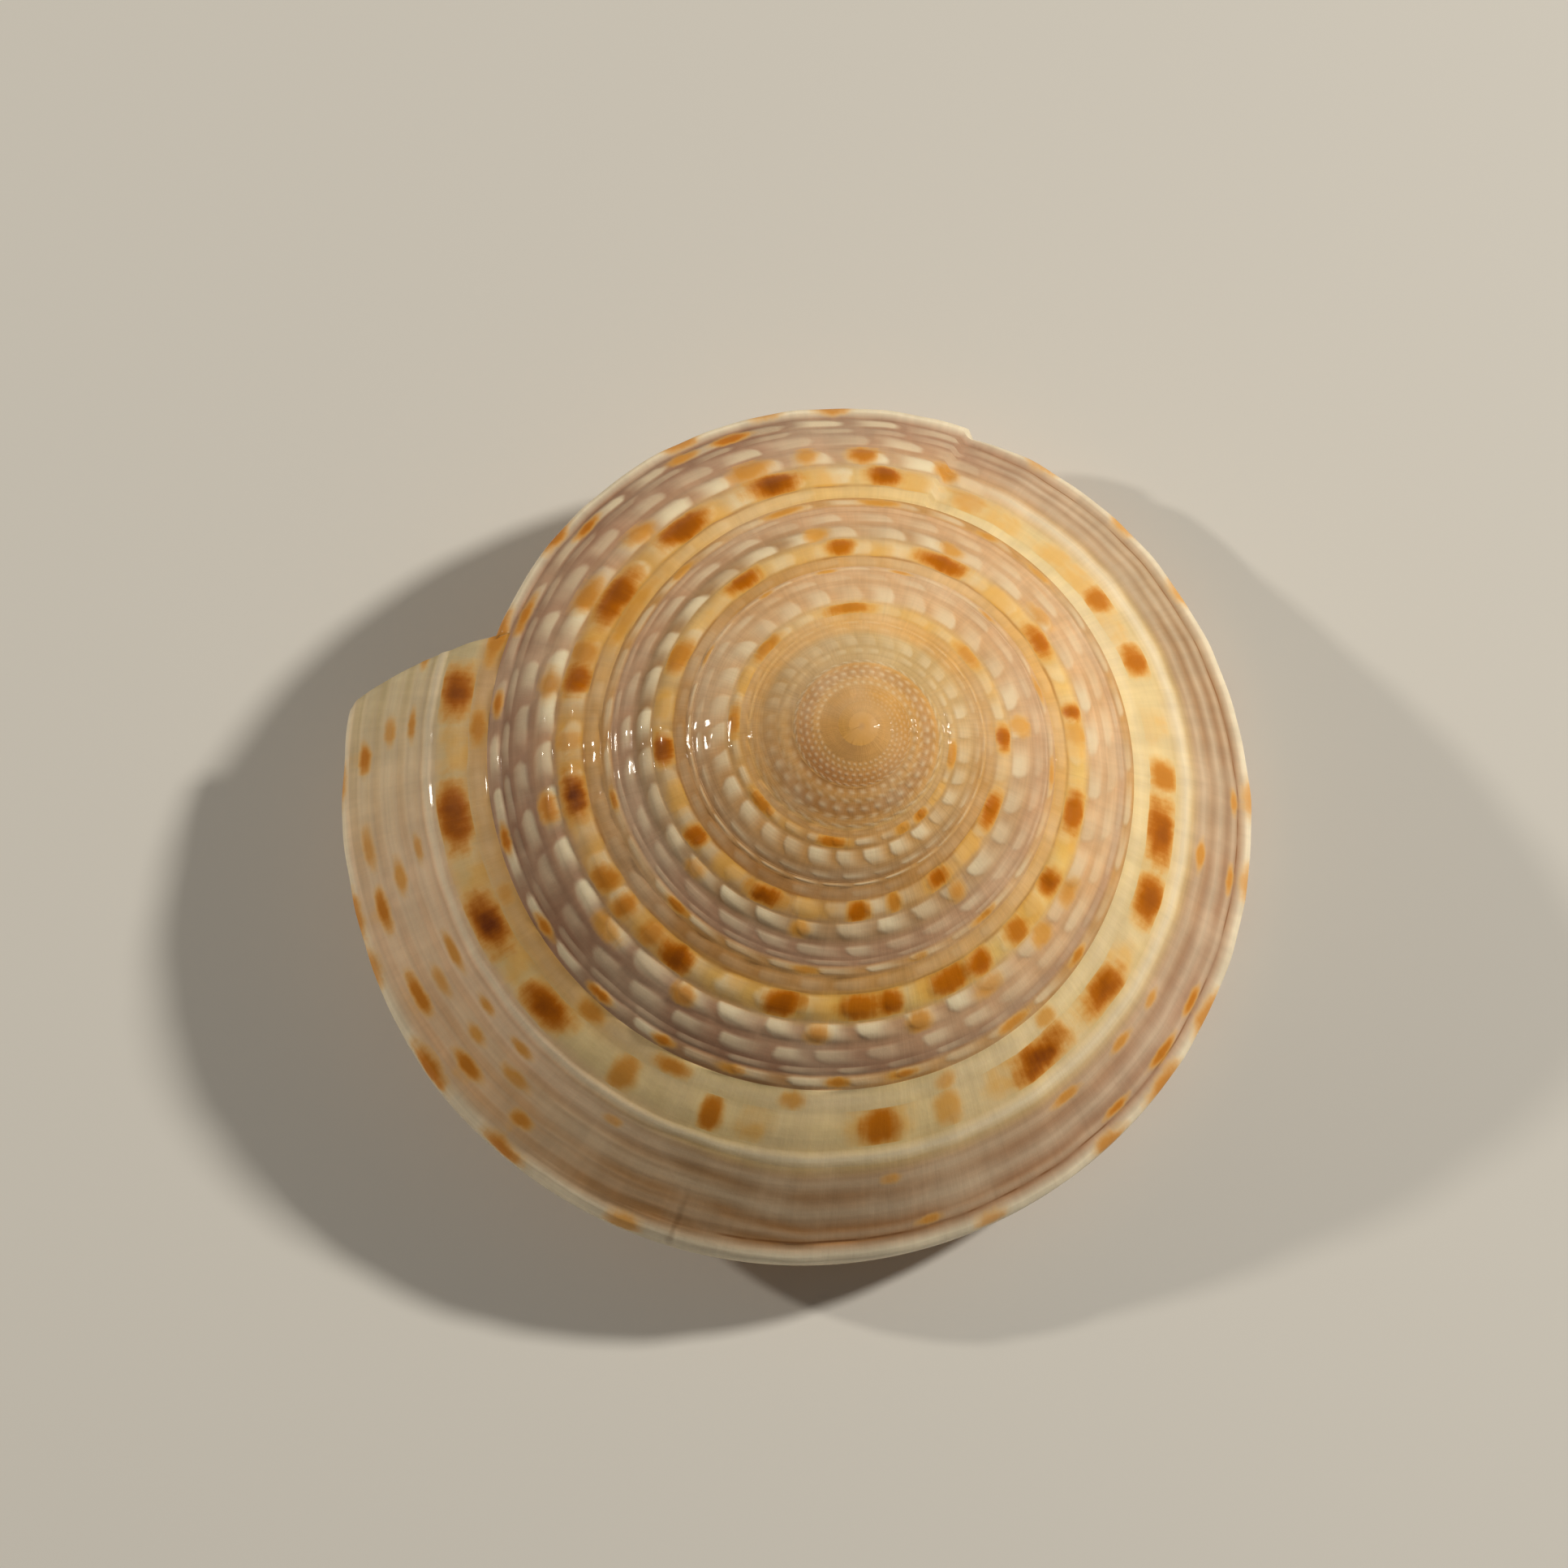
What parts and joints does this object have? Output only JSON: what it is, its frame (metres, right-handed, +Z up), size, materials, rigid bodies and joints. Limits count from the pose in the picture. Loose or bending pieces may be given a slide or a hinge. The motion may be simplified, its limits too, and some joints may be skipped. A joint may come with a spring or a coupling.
{
  "type": "sundial shell",
  "caption": "Low conical sea snail shell with a keeled rim, beaded and spotted spiral cords, a wide open umbilicus with a crenulate edge, and an open aperture; rests on its base.",
  "frame": {"origin": "on the resting plane, under the middle of the shell's bounding box", "axes": "+Z up, the coil axis leans about 10 degrees from it; +X to the right and +Y away from the viewer in a view from above with the lip of the aperture at the left"},
  "size_m": [0.038, 0.0362, 0.0181],
  "materials": {
    "shell": "glossy porcelain-like shell"
  },
  "bodies": {
    "root": {"shell": "shell"}
  },
  "joints": []
}
